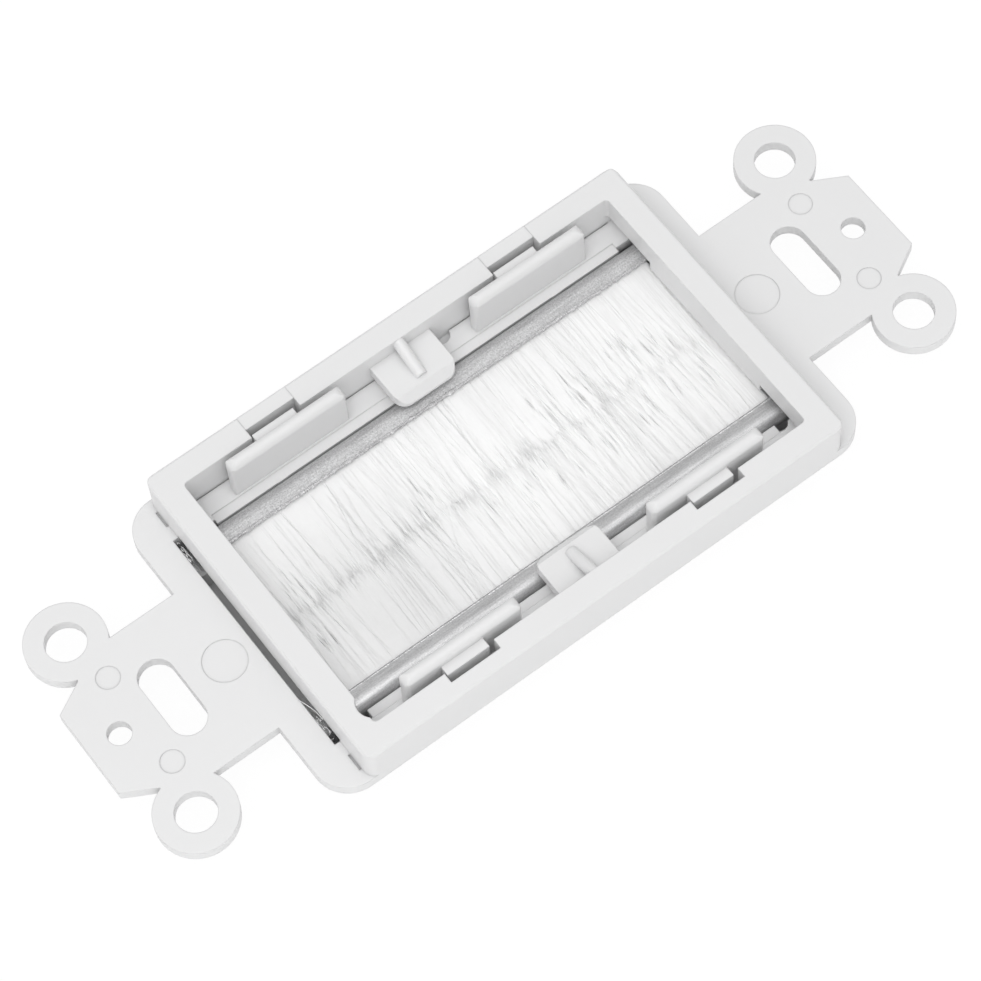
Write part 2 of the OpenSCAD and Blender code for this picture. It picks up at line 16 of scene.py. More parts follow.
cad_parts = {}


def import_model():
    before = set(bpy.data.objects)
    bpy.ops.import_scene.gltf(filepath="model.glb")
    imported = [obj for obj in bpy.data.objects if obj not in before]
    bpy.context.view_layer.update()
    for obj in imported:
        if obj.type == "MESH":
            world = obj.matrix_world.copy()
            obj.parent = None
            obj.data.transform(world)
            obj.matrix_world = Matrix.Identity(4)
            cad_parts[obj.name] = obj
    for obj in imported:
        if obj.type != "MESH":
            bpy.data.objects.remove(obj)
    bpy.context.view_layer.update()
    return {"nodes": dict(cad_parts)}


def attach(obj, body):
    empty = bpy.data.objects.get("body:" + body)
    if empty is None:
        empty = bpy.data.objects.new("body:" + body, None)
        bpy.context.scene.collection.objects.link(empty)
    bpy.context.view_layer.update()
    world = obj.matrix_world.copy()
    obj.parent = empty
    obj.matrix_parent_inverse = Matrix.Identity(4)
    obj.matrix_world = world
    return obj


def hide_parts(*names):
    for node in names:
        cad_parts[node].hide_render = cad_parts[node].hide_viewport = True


Socket = bpy.types.NodeSocket

LOG = logging.getLogger("brush_wall_plate")
MM = 0.001
BODY = "root"
ROW_MIDDLE = 6.20 * MM
OVERLAP_LIFT = 0.02 * MM
LEAN_POWER = 1.7
GRAIN_RATIO = 4.0
GRAIN_SHARE = 0.33
FLECK_EDGE = 25.0
WHITE = (1.0, 1.0, 1.0)


class Side(Enum):
    """Long side of the plate that a brush strip stands on, with the sign of its Y."""

    LEFT = 1.0
    RIGHT = -1.0


def mm(*values: float) -> tuple[float, ...]:
    """Turns millimetres into metres."""
    return tuple(value * MM for value in values)


# Meshes


def make_piece(name: str, points: np.ndarray, faces: list[list[int]],
               material: bpy.types.Material, smooth: bool = True) -> bpy.types.Object:
    """Makes a mesh object at the origin from points and faces.

    Args:
        name: name of the object and of its mesh.
        points: array (n, 3) of places in metres.
        faces: list of lists of point numbers.
        material: the finish.
        smooth: whether the faces are shaded smooth.

    Returns:
        The linked object.
    """
    mesh = bpy.data.meshes.new(name)
    mesh.from_pydata(points.tolist(), [], faces)
    mesh.polygons.foreach_set("use_smooth", np.full(len(mesh.polygons), smooth))
    mesh.materials.append(material)
    mesh.update()
    piece = bpy.data.objects.new(name, mesh)
    bpy.context.scene.collection.objects.link(piece)
    return piece


def ring_faces(rings: int, sides: int) -> np.ndarray:
    """Quads that join each closed ring of points to the next one.

    Args:
        rings: number of rings.
        sides: points in each ring.

    Returns:
        Array ((rings - 1) * sides, 4) of point numbers.
    """
    ring = np.arange(rings - 1)[:, None] * sides
    side = np.arange(sides)[None, :]
    after = (side + 1) % sides
    quads = [ring + side, ring + after, ring + sides + after, ring + sides + side]
    return np.stack(quads, axis=-1).reshape(-1, 4)


def many_tubes(centres: np.ndarray, radii: np.ndarray, roll: np.ndarray,
               sides: int) -> tuple[np.ndarray, list[list[int]]]:
    """Closed thin tubes along many lines that run mostly along Y.

    A point is the centre plus radius times (cos a, 0, sin a), with a stepping round the tube from
    the line's own roll, and each end is closed by one flat face.

    Args:
        centres: array (lines, steps, 3) of centre points.
        radii: array (lines, steps) of radii.
        roll: array (lines,) of the first angle of each tube.
        sides: points round each tube.

    Returns:
        The points and the faces.
    """
    lines, steps, _ = centres.shape
    angle = np.arange(sides)[None, :] * 2 * np.pi / sides + roll[:, None]
    round_tube = np.stack([np.cos(angle), np.zeros_like(angle), np.sin(angle)], axis=-1)
    points = centres[:, :, None, :] + radii[:, :, None, None] * round_tube[:, None]
    start = np.arange(lines)[:, None] * (steps * sides)
    quads = (ring_faces(steps, sides)[None] + start[:, :, None]).reshape(-1, 4)
    lid_start = (start + np.arange(sides)[None, ::-1]).tolist()
    lid_end = (start + (steps - 1) * sides + np.arange(sides)[None]).tolist()
    return points.reshape(-1, 3), quads.tolist() + lid_start + lid_end


# Nodes and node groups shared by the finishes


def feed(tree: bpy.types.NodeTree, value: Socket | float, target: Socket) -> None:
    """Links a socket to a node's input, or writes a number into it.

    Args:
        tree: the node tree.
        value: socket or number.
        target: the input.
    """
    if isinstance(value, (int, float)):
        target.default_value = value
    else:
        tree.links.new(value, target)


def math_node(tree: bpy.types.NodeTree, operation: str, first: Socket | float,
              second: Socket | float = 0.0) -> Socket:
    """Adds a math node.

    Args:
        tree: the node tree.
        operation: the node's operation.
        first: first socket or number.
        second: second socket or number, which an operation on one value doesn't use.

    Returns:
        The node's output.
    """
    node = tree.nodes.new("ShaderNodeMath")
    node.operation = operation
    feed(tree, first, node.inputs[0])
    feed(tree, second, node.inputs[1])
    return node.outputs[0]


def noise_node(tree: bpy.types.NodeTree, vector: Socket, scale: Socket | float,
               detail: float) -> Socket:
    """Adds a noise texture.

    Args:
        tree: the node tree.
        vector: socket with the coordinates.
        scale: socket or number of cells per metre.
        detail: octaves.

    Returns:
        The noise's value, round 0.5.
    """
    node = tree.nodes.new("ShaderNodeTexNoise")
    tree.links.new(vector, node.inputs["Vector"])
    feed(tree, scale, node.inputs["Scale"])
    node.inputs["Detail"].default_value = detail
    return node.outputs["Fac"]


def ramp_node(tree: bpy.types.NodeTree, value: Socket, start: float, end: float,
              low: float) -> Socket:
    """Adds a ramp that rises in a straight line from low at start to 1 at end, level outside.

    Args:
        tree: the node tree.
        value: socket that is read.
        start: value at which the ramp leaves low.
        end: value at which the ramp reaches 1.
        low: the ramp's lowest level.

    Returns:
        The ramp's level.
    """
    node = tree.nodes.new("ShaderNodeMapRange")
    tree.links.new(value, node.inputs["Value"])
    for label, number in (("From Min", start), ("From Max", end), ("To Min", low), ("To Max", 1.0)):
        node.inputs[label].default_value = number
    return node.outputs["Result"]


def new_group(name: str, inputs: dict[str, float], output: str) -> bpy.types.NodeTree:
    """Starts a shader node group with a Vector input, number inputs and one number output.

    Args:
        name: name of the group.
        inputs: names and first values of the number inputs.
        output: name of the output.

    Returns:
        The node group, with its two end nodes in place.
    """
    tree = bpy.data.node_groups.new(name, "ShaderNodeTree")
    sockets = tree.interface
    sockets.new_socket(name="Vector", in_out="INPUT", socket_type="NodeSocketVector")
    for label, value in inputs.items():
        socket = sockets.new_socket(name=label, in_out="INPUT", socket_type="NodeSocketFloat")
        socket.default_value = value
    sockets.new_socket(name=output, in_out="OUTPUT", socket_type="NodeSocketFloat")
    tree.nodes.new("NodeGroupInput").name = "in"
    tree.nodes.new("NodeGroupOutput").name = "out"
    return tree


def tone_drift_group() -> bpy.types.NodeTree:
    """Makes the group for a factor round 1 that drifts: 1 + amount * (noise - 0.5) * 2.

    Returns:
        The node group.
    """
    tree = new_group("tone_drift", {"Scale": 90.0, "Amount": 0.02}, "Factor")
    start, end = tree.nodes["in"].outputs, tree.nodes["out"].inputs
    noise = noise_node(tree, start["Vector"], start["Scale"], detail=3.0)
    swing = math_node(tree, "MULTIPLY", math_node(tree, "SUBTRACT", noise, 0.5), 2.0)
    share = math_node(tree, "MULTIPLY", swing, start["Amount"])
    tree.links.new(math_node(tree, "ADD", share, 1.0), end["Factor"])
    return tree


def fine_grain_group() -> bpy.types.NodeTree:
    """Makes the group for a grain: noise plus GRAIN_SHARE of a noise GRAIN_RATIO times finer.

    Returns:
        The node group.
    """
    tree = new_group("fine_grain", {"Scale": 4000.0}, "Height")
    start, end = tree.nodes["in"].outputs, tree.nodes["out"].inputs
    coarse = noise_node(tree, start["Vector"], start["Scale"], detail=2.0)
    finer_scale = math_node(tree, "MULTIPLY", start["Scale"], GRAIN_RATIO)
    fine = noise_node(tree, start["Vector"], finer_scale, detail=1.0)
    share = math_node(tree, "MULTIPLY", fine, GRAIN_SHARE)
    tree.links.new(math_node(tree, "ADD", coarse, share), end["Height"])
    return tree


def fleck_group() -> bpy.types.NodeTree:
    """Makes the group for scattered flecks: FLECK_EDGE (noise - threshold), held to 0 to 1.

    Returns:
        The node group.
    """
    tree = new_group("flecks", {"Scale": 900.0, "Threshold": 0.7}, "Mask")
    start, end = tree.nodes["in"].outputs, tree.nodes["out"].inputs
    noise = noise_node(tree, start["Vector"], start["Scale"], detail=1.0)
    over = math_node(tree, "SUBTRACT", noise, start["Threshold"])
    edge = tree.nodes.new("ShaderNodeClamp")
    tree.links.new(math_node(tree, "MULTIPLY", over, FLECK_EDGE), edge.inputs["Value"])
    tree.links.new(edge.outputs[0], end["Mask"])
    return tree


class Effects:
    """The shared node groups, each made once."""

    def __init__(self) -> None:
        """Makes the groups."""
        self.tone_drift = tone_drift_group()
        self.fine_grain = fine_grain_group()
        self.flecks = fleck_group()

    def place(self, tree: bpy.types.NodeTree, group: bpy.types.NodeTree, vector: Socket,
              **values: float) -> Socket:
        """Puts a group into a material.

        Args:
            tree: the material's node tree.
            group: the node group.
            vector: socket with the coordinates.
            **values: the group's number inputs.

        Returns:
            The group's output.
        """
        node = tree.nodes.new("ShaderNodeGroup")
        node.node_tree = group
        tree.links.new(vector, node.inputs["Vector"])
        for label, value in values.items():
            node.inputs[label].default_value = value
        return node.outputs[0]


# Finishes


class FinishNodes:
    """A node material under work, with its tree, shader and Object coordinates."""

    def __init__(self, name: str, effects: Effects) -> None:
        """Starts the material.

        Args:
            name: name of the material.
            effects: the shared node groups.
        """
        self.material = bpy.data.materials.new(name)
        self.material.use_nodes = True
        self.effects = effects
        self.tree = self.material.node_tree
        self.shader = self.tree.nodes["Principled BSDF"]
        self.coordinates = self.tree.nodes.new("ShaderNodeTexCoord").outputs["Object"]

    def drift(self, scale: float, amount: float, vector: Socket | None = None) -> Socket:
        """Adds a factor that drifts round 1.

        Args:
            scale: cells per metre.
            amount: largest swing of the factor.
            vector: socket with the coordinates, or None for the object's own.

        Returns:
            The factor.
        """
        place = self.coordinates if vector is None else vector
        return self.effects.place(self.tree, self.effects.tone_drift, place,
                                  Scale=scale, Amount=amount)

    def times(self, first: Socket, second: Socket | float) -> Socket:
        """Multiplies a factor by another one or by a number."""
        return math_node(self.tree, "MULTIPLY", first, second)

    def colour(self, colour: tuple[float, float, float], tone: Socket) -> None:
        """Sets the base colour to a colour times a tone.

        Args:
            colour: the plain colour.
            tone: socket with the factor that varies over the surface.
        """
        mix = self.tree.nodes.new("ShaderNodeMix")
        mix.data_type = "RGBA"
        mix.blend_type = "MULTIPLY"
        mix.inputs["Factor"].default_value = 1.0
        mix.inputs["A"].default_value = (*colour, 1.0)
        self.tree.links.new(tone, mix.inputs["B"])
        self.tree.links.new(mix.outputs["Result"], self.shader.inputs["Base Color"])

    def polish(self, roughness: float, scale: float, amount: float) -> None:
        """Sets a roughness that drifts by the share amount, at scale cells per metre."""
        rough = self.times(self.drift(scale, amount), roughness)
        self.tree.links.new(rough, self.shader.inputs["Roughness"])

    def translucent(self, weight: float, depth: float) -> None:
        """Lets light in below the surface, evenly in all colours.

        Args:
            weight: share of the light that goes in.
            depth: how far it spreads, in metres.
        """
        self.shader.inputs["Subsurface Weight"].default_value = weight
        self.shader.inputs["Subsurface Radius"].default_value = WHITE
        self.shader.inputs["Subsurface Scale"].default_value = depth

    def bump(self, height: Socket, strength: float, distance: float,
             normal: Socket | None = None) -> None:
        """Adds a bump to the shader.

        Args:
            height: socket with the height.
            strength: share of the bump's effect.
            distance: depth of the bump in metres.
            normal: socket of the normal under the bump, or None.
        """
        bump = self.tree.nodes.new("ShaderNodeBump")
        bump.inputs["Strength"].default_value = strength
        bump.inputs["Distance"].default_value = distance
        self.tree.links.new(height, bump.inputs["Height"])
        if normal is not None:
            self.tree.links.new(normal, bump.inputs["Normal"])
        self.tree.links.new(bump.outputs["Normal"], self.shader.inputs["Normal"])


@dataclass(frozen=True)
class MouldedWhite:
    """Satin white moulded plastic with soft edges, painted shade in its crevices and a faint grain.
    """

    colour: tuple[float, float, float] = (0.80, 0.80, 0.802)
    drift_scale: float = 110.0
    drift: float = 0.012
    roughness: float = 0.38
    polish_scale: float = 420.0
    polish_drift: float = 0.12
    refraction: float = 1.5
    depth_share: float = 0.15
    depth: float = 0.6 * MM
    edge_radius: float = 0.2 * MM
    grain_scale: float = 2600.0
    grain_strength: float = 0.35
    grain_depth: float = 0.004 * MM
    # Reach and share of the painted shade in crevices.
    crevice_shade_reach: float = 0.8 * MM
    crevice_shade_share: float = 0.24
    probe_rays: int = 6

    def make(self, effects: Effects) -> bpy.types.Material:
        """Makes the material.

        Args:
            effects: the shared node groups.

        Returns:
            The material.
        """
        nodes = FinishNodes("moulded_white", effects)
        tree = nodes.tree
        drift = nodes.drift(self.drift_scale, self.drift)
        # Painted shade: an ambient occlusion probe darkens the colour in crevices, creases and the
        # corners of the recess, where shade falls.
        painted_crevice_shade = tree.nodes.new("ShaderNodeAmbientOcclusion")
        painted_crevice_shade.samples = self.probe_rays
        painted_crevice_shade.inputs["Distance"].default_value = self.crevice_shade_reach
        open_share = nodes.times(painted_crevice_shade.outputs["AO"], self.crevice_shade_share)
        shade = math_node(tree, "ADD", open_share, 1.0 - self.crevice_shade_share)
        nodes.colour(self.colour, nodes.times(drift, shade))
        nodes.polish(self.roughness, self.polish_scale, self.polish_drift)
        nodes.shader.inputs["IOR"].default_value = self.refraction
        nodes.translucent(self.depth_share, self.depth)
        soft_edge = tree.nodes.new("ShaderNodeBevel")
        soft_edge.samples = self.probe_rays
        soft_edge.inputs["Radius"].default_value = self.edge_radius
        grain = effects.place(tree, effects.fine_grain, nodes.coordinates, Scale=self.grain_scale)
        nodes.bump(grain, self.grain_strength, self.grain_depth, soft_edge.outputs["Normal"])
        return nodes.material


@dataclass(frozen=True)
class GalvanisedSheet:
    """Grey zinc-coated sheet with a speckled, slightly rough surface, rolled along X."""

    name: str = "galvanised_sheet"
    colour: tuple[float, float, float] = (0.55, 0.55, 0.555)
    roughness: float = 0.42
    polish_scale: float = 900.0
    polish_drift: float = 0.25
    speckle_scale: float = 6000.0
    speckle: float = 0.6
    streak_scale: float = 4500.0
    streak_stretch: tuple[float, float, float] = (0.06, 1.0, 1.0)
    streak: float = 0.3
    fleck_scale: float = 5200.0
    fleck_threshold: float = 0.56
    fleck_strength: float = 0.5
    fleck_depth: float = 0.03 * MM
    metallic: float = 0.55

    def make(self, effects: Effects) -> bpy.types.Material:
        """Makes the material.

        Args:
            effects: the shared node groups.

        Returns:
            The material.
        """
        nodes = FinishNodes(self.name, effects)
        tree = nodes.tree
        speckle = nodes.drift(self.speckle_scale, self.speckle)
        stretch = tree.nodes.new("ShaderNodeMapping")
        stretch.inputs["Scale"].default_value = self.streak_stretch
        tree.links.new(nodes.coordinates, stretch.inputs["Vector"])
        streaks = nodes.drift(self.streak_scale, self.streak, stretch.outputs["Vector"])
        nodes.colour(self.colour, nodes.times(speckle, streaks))
        nodes.shader.inputs["Metallic"].default_value = self.metallic
        nodes.polish(self.roughness, self.polish_scale, self.polish_drift)
        flecks = effects.place(tree, effects.flecks, nodes.coordinates,
                               Scale=self.fleck_scale, Threshold=self.fleck_threshold)
        nodes.bump(flecks, self.fleck_strength, self.fleck_depth)
        return nodes.material


@dataclass(frozen=True)
class WhiteFilament:
    """Fine translucent white filament, with painted shade deep in the row and toward its minus X
    end.
    """

    colour: tuple[float, float, float] = (0.978, 0.978, 0.978)
    drift_scale: float = 1200.0
    drift: float = 0.02
    roughness: float = 0.4
    depth_share: float = 0.35
    depth: float = 0.2 * MM
    # Depths and share of the painted shade deep in the row.
    gap_shade_depth: float = 0.12 * MM
    gap_shade_end_depth: float = 0.34 * MM
    gap_shade_share: float = 0.42
    # Place, reach and share of the painted shade toward the minus X end of the rows.
    shaded_place: tuple[float, float, float] = (-18.0 * MM, -3.0 * MM, ROW_MIDDLE)
    shaded_near: float = 4.0 * MM
    shaded_far: float = 16.0 * MM
    shaded_share: float = 0.83

    def make(self, effects: Effects) -> bpy.types.Material:
        """Makes the material.

        The tone carries painted shade twice. First comes a painted shade of the gaps between
        filaments: it is at its lowest share within the first depth of the row's middle plane and 1
        beyond the second depth. That is multiplied by a painted shade toward the minus X end, which
        is shaded_share near the shaded place and 1 far from it.

        Args:
            effects: the shared node groups.

        Returns:
            The material.
        """
        nodes = FinishNodes("white_filament", effects)
        tree = nodes.tree
        drift = nodes.drift(self.drift_scale, self.drift)
        split = tree.nodes.new("ShaderNodeSeparateXYZ")
        tree.links.new(nodes.coordinates, split.inputs[0])
        # Painted shade: the colour darkens deep in the row, between the filaments, where shade
        # falls.
        above = math_node(tree, "SUBTRACT", split.outputs["Z"], ROW_MIDDLE)
        height = math_node(tree, "ABSOLUTE", above)
        painted_gap_shade = ramp_node(tree, height, self.gap_shade_depth, self.gap_shade_end_depth, self.gap_shade_share)
        # Painted shade: the colour darkens toward the minus X end of the rows, where the frame's
        # walls cast shade.
        apart = tree.nodes.new("ShaderNodeVectorMath")
        apart.operation = "DISTANCE"
        tree.links.new(nodes.coordinates, apart.inputs[0])
        apart.inputs[1].default_value = self.shaded_place
        painted_end_shade = ramp_node(tree, apart.outputs["Value"], self.shaded_near, self.shaded_far,
                             self.shaded_share)
        nodes.colour(self.colour, nodes.times(nodes.times(drift, painted_gap_shade), painted_end_shade))
        nodes.shader.inputs["Roughness"].default_value = self.roughness
        nodes.translucent(self.depth_share, self.depth)
        return nodes.material


# Brush strips


@dataclass(frozen=True)
class CalmEnd:
    """The end of both rows, toward minus X, where the filaments lie smoothest."""

    base: float = 0.4
    start: float = -6.0 * MM
    full: float = -16.0 * MM

    def share(self, x: np.ndarray) -> np.ndarray:
        """How smoothly a row lies: base up to start, then a straight rise to 1 at full."""
        rise = np.clip((self.start - x) / (self.start - self.full), 0.0, 1.0)
        return self.base + (1.0 - self.base) * rise


@dataclass
class BristleRow:
    """One row of filaments, from inside its channel to the middle of the window."""

    side: Side
    name: str
    node: str
    seed: int
    half_length: float = 28.3 * MM
    root: float = 12.0 * MM
    tips: float = -0.4 * MM
    inner_layer: float = 0.57 * MM
    half_layer: float = 0.615 * MM
    calm: CalmEnd = CalmEnd()
    calm_sink: float = 0.045 * MM
    radius: float = 0.035 * MM
    thickness: tuple[float, float] = (0.85, 1.1)
    tip_thickness: float = 0.45
    filaments: int = 1500
    steps: int = 7
    tube_sides: int = 3
    clump_gap: tuple[float, ...] = mm(0.7, 3.2)
    clump_draws: int = 60
    clump_margin: float = 1.0 * MM
    clump_pull: float = 0.4
    clump_pull_power: float = 1.5
    clump_lean: float = 0.55 * MM
    clump_reach: float = 0.35 * MM
    end_spread: float = 0.28 * MM
    wild_share: float = 0.16
    wild_spread: float = 1.3 * MM
    reach_spread: float = 0.8 * MM
    rear_share: float = 0.55
    end_level_share: tuple[float, float] = (0.78, 1.0)
    end_level_spread: float = 0.02 * MM
    flat_roll: float = math.radians(30.0)
    roll_spread: float = 0.3
    curl: float = 0.22 * MM
    bow: float = 0.05 * MM
    end_slack: float = 0.2 * MM
    rear_slack: float = 0.1 * MM

    def clumps(self, rng: np.random.Generator) -> tuple[np.ndarray, ...]:
        """Draws the clumps that the filaments gather into.

        Args:
            rng: the source of random numbers.

        Returns:
            The clumps' centres, pulls, leans and lengths.
        """
        gaps = rng.uniform(*self.clump_gap, self.clump_draws)
        centres = np.cumsum(gaps) - self.half_length - self.clump_margin
        centres = centres[centres < self.half_length + self.clump_margin]
        count = len(centres)
        pull = rng.uniform(0.0, 1.0, count) ** self.clump_pull_power * self.clump_pull
        lean = rng.normal(0.0, self.clump_lean, count)
        reach = rng.normal(0.0, self.clump_reach, count)
        return centres, pull, lean, reach

    def centre_lines(self) -> tuple[np.ndarray, np.ndarray, np.ndarray]:
        """Works out every filament's line, radius and roll.

        With t from root to tip, a line leans toward its clump by t to the power LEAN_POWER, plus
        half a sine of its own as a slight curl. Where the row is calm, the line lies deeper in it.

        Returns:
            Arrays (filaments, steps, 3) of points, (filaments, steps) of radii and (filaments,)
            of rolls, which turn a flat side outward on each face of the row.
        """
        rng = np.random.default_rng(self.seed)
        n = self.filaments
        start_x = rng.uniform(-self.half_length, self.half_length, n)
        centres, pull, lean, reach = self.clumps(rng)
        mine = np.abs(start_x[:, None] - centres[None, :]).argmin(axis=1)
        end_x = start_x + pull[mine] * (centres[mine] - start_x) + lean[mine]
        end_x += rng.normal(0.0, self.end_spread, n)
        wild = rng.uniform(0.0, 1.0, n) < self.wild_share
        end_x += np.where(wild, rng.normal(0.0, self.wild_spread, n), 0.0)
        end_y = self.tips + reach[mine] + rng.normal(0.0, self.reach_spread, n)
        face = np.where(rng.uniform(0.0, 1.0, n) < self.rear_share, 1.0, -1.0)
        layer = rng.uniform(self.inner_layer, self.half_layer, n)
        level = face * (layer - self.calm_sink * self.calm.share(start_x))
        end_level = level * rng.uniform(*self.end_level_share, n)
        end_level += rng.normal(0.0, self.end_level_spread, n) + OVERLAP_LIFT * self.side.value
        roll = self.flat_roll * face + rng.normal(0.0, self.roll_spread, n)
        curl = rng.normal(0.0, self.curl, n)
        bow = rng.normal(0.0, self.bow, n)
        t = np.linspace(0.0, 1.0, self.steps)[None, :]
        ease = t ** LEAN_POWER
        wave = np.sin(np.pi * t)
        x = start_x[:, None] + (end_x - start_x)[:, None] * ease + curl[:, None] * wave
        x = np.clip(x, -self.half_length - self.end_slack, self.half_length + self.end_slack)
        y = self.root + (end_y - self.root)[:, None] * t
        z = ROW_MIDDLE + level[:, None] + (end_level - level)[:, None] * ease
        z += bow[:, None] * wave
        z = np.clip(z, ROW_MIDDLE - self.half_layer, ROW_MIDDLE + self.half_layer + self.rear_slack)
        radii = self.radius * rng.uniform(*self.thickness, n)[:, None]
        radii = radii * np.where(t == 1.0, self.tip_thickness, 1.0)
        return np.stack([x, y * self.side.value, z], axis=-1), radii, roll

    def build(self, finish: bpy.types.Material) -> bpy.types.Object:
        """Makes the row of filaments.

        Args:
            finish: the filament's material.

        Returns:
            The piece, which stands for the CAD node.
        """
        centres, radii, roll = self.centre_lines()
        if self.side is Side.RIGHT:
            centres = centres[:, ::-1]
            radii = radii[:, ::-1]
        points, faces = many_tubes(centres, radii, roll, self.tube_sides)
        piece = make_piece(self.name, points, faces, finish, smooth=False)
        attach(piece, BODY)
        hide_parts(self.node)
        return piece


@dataclass
class BristleCore:
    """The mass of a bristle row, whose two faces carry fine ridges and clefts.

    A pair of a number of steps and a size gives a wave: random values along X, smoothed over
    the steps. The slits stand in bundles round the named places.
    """

    side: Side
    name: str
    seed: int
    slits: tuple[float, ...]
    half_length: float = 28.25 * MM
    root: float = 11.9 * MM
    tips: float = -1.6 * MM
    half_layer: float = 0.60 * MM
    least_layer: float = 0.03 * MM
    calm: CalmEnd = CalmEnd()
    calm_ridges: float = 0.6
    along: int = 1400
    across: int = 34
    row_spacing: float = 0.9
    lean_waves: tuple[tuple[int, float], ...] = ((90, 0.38 * MM), (15, 0.12 * MM))
    front_waves: tuple[tuple[int, float], ...] = ((70, 0.30 * MM), (4, 0.16 * MM))
    slits_each: int = 7
    slit_scatter: float = 0.9 * MM
    slit_width: tuple[float, ...] = mm(0.032, 0.058)
    slit_start: tuple[float, float] = (0.4, 0.7)
    slit_run: tuple[float, float] = (0.12, 0.25)
    slit_rise: float = 0.1
    slit_fall: float = 0.08
    slit_share: tuple[float, float] = (0.45, 1.0)
    slit_depth: float = 0.56 * MM
    taper: float = 0.08
    taper_power: float = 3.0
    tip_fall: float = 0.9
    tip_power: float = 14.0
    feather_steps: int = 5
    feather_power: float = 4.0
    feather_limit: float = 2.0
    fine_steps: int = 3
    fine_root: float = 0.003 * MM
    fine_rise: float = 0.005 * MM
    broad_steps: int = 26
    broad_rise: float = 0.012 * MM
    cleft_steps: int = 6
    cleft_threshold: float = 1.9
    cleft_limit: float = 1.2
    cleft_depth: float = 0.24 * MM

    def streaks(self, rng: np.random.Generator, steps: int) -> np.ndarray:
        """Draws values along X, smoothed over a number of steps and scaled to a spread of 1.

        Args:
            rng: the source of random numbers.
            steps: width of the smoothing.

        Returns:
            Array (along, 1) of values.
        """
        kernel = np.hanning(steps + 2)[1:-1]
        drawn = rng.normal(0.0, 1.0, self.along + 2 * steps)
        values = np.convolve(drawn, kernel, "same")[steps:-steps]
        return (values / values.std())[:, None]

    def slit_pattern(self, rng: np.random.Generator, x: np.ndarray, t: np.ndarray) -> np.ndarray:
        """Draws the slits: exp(-(dx / width)^2) in X, opening and closing again along t.

        Args:
            rng: the source of random numbers.
            x: array (along, 1) of places.
            t: array (1, across) of shares of the length.

        Returns:
            Array (along, across) of the slits' share of slit_depth.
        """
        pattern = np.zeros((self.along, self.across))
        for place in self.slits:
            for _ in range(self.slits_each):
                middle = place + rng.normal(0.0, self.slit_scatter)
                width = rng.uniform(*self.slit_width)
                start = rng.uniform(*self.slit_start)
                end = start + rng.uniform(*self.slit_run)
                opening = np.clip((t - start) / self.slit_rise, 0.0, 1.0)
                closing = np.clip((end - t) / self.slit_fall, 0.0, 1.0)
                section = np.exp(-((x - middle) / width) ** 2)
                pattern += section * opening * closing * rng.uniform(*self.slit_share)
        return np.minimum(pattern, 1.0)

    def face_height(self, rng: np.random.Generator, t: np.ndarray, ridges: np.ndarray,
                    slits: np.ndarray) -> np.ndarray:
        """Works out how far one face stands from the middle plane of the row.

        With t from root to tips, the height is half_layer (1 - taper t^3) (1 - tip_fall t^n),
        where n varies from ridge to ridge, so that the tips sink into the facing row. To that
        come fine and broad ridges that grow with t, less the clefts times t^2 and the slits.

        Args:
            rng: the source of random numbers.
            t: array (1, across) of shares of the length.
            ridges: array (along, 1) of the share that the ridges have at each X.
            slits: array (along, across) of the slits' share of slit_depth.

        Returns:
            Array (along, across) of heights.
        """
        feather = np.clip(self.streaks(rng, self.feather_steps),
                          -self.feather_limit, self.feather_limit)
        fine = self.streaks(rng, self.fine_steps) * ridges
        broad = self.streaks(rng, self.broad_steps) * ridges
        cleft = np.clip(self.streaks(rng, self.cleft_steps) - self.cleft_threshold,
                        0.0, self.cleft_limit) * ridges
        tip_share = self.tip_fall * t ** (self.tip_power + self.feather_power * feather)
        height = self.half_layer * (1.0 - self.taper * t ** self.taper_power) * (1.0 - tip_share)
        height += (self.fine_root + self.fine_rise * t) * fine + self.broad_rise * broad * t
        height -= self.cleft_depth * cleft * t ** 2 + self.slit_depth * slits
        return np.maximum(height, self.least_layer)

    def build(self, finish: bpy.types.Material) -> bpy.types.Object:
        """Makes the core as two faces that are joined round their edges.

        With t from root to tips, the ridges lean along X by t to the power LEAN_POWER, and they
        end at a front that is ragged from ridge to ridge.

        Args:
            finish: the filament's material.

        Returns:
            The piece.
        """
        rng = np.random.default_rng(self.seed)
        x = np.linspace(-self.half_length, self.half_length, self.along)[:, None]
        t = np.linspace(0.0, 1.0, self.across)[None, :] ** self.row_spacing
        lean = sum(size * self.streaks(rng, steps) for steps, size in self.lean_waves)
        ragged = sum(size * self.streaks(rng, steps) for steps, size in self.front_waves)
        y = self.root + (self.tips + ragged - self.root) * t
        x_all = np.clip(x + lean * t ** LEAN_POWER, -self.half_length, self.half_length)
        slits = self.slit_pattern(rng, x, t)
        ridges = 1.0 - self.calm_ridges * self.calm.share(x)
        middle = ROW_MIDDLE + OVERLAP_LIFT * self.side.value * t
        layers = []
        for face in (1.0, -1.0):
            z = middle + face * self.face_height(rng, t, ridges, slits)
            layers.append(np.stack([x_all, y * self.side.value, z], axis=-1))
        points = np.concatenate([layers[0], layers[1][:, ::-1]], axis=1)
        if self.side is Side.RIGHT:
            points = points[:, ::-1]
        sides = 2 * self.across
        last = (self.along - 1) * sides
        faces = ring_faces(self.along, sides).tolist()
        faces += [list(range(sides))[::-1], list(range(last, last + sides))]
        piece = make_piece(self.name, points.reshape(-1, 3), faces, finish)
        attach(piece, BODY)
        return piece


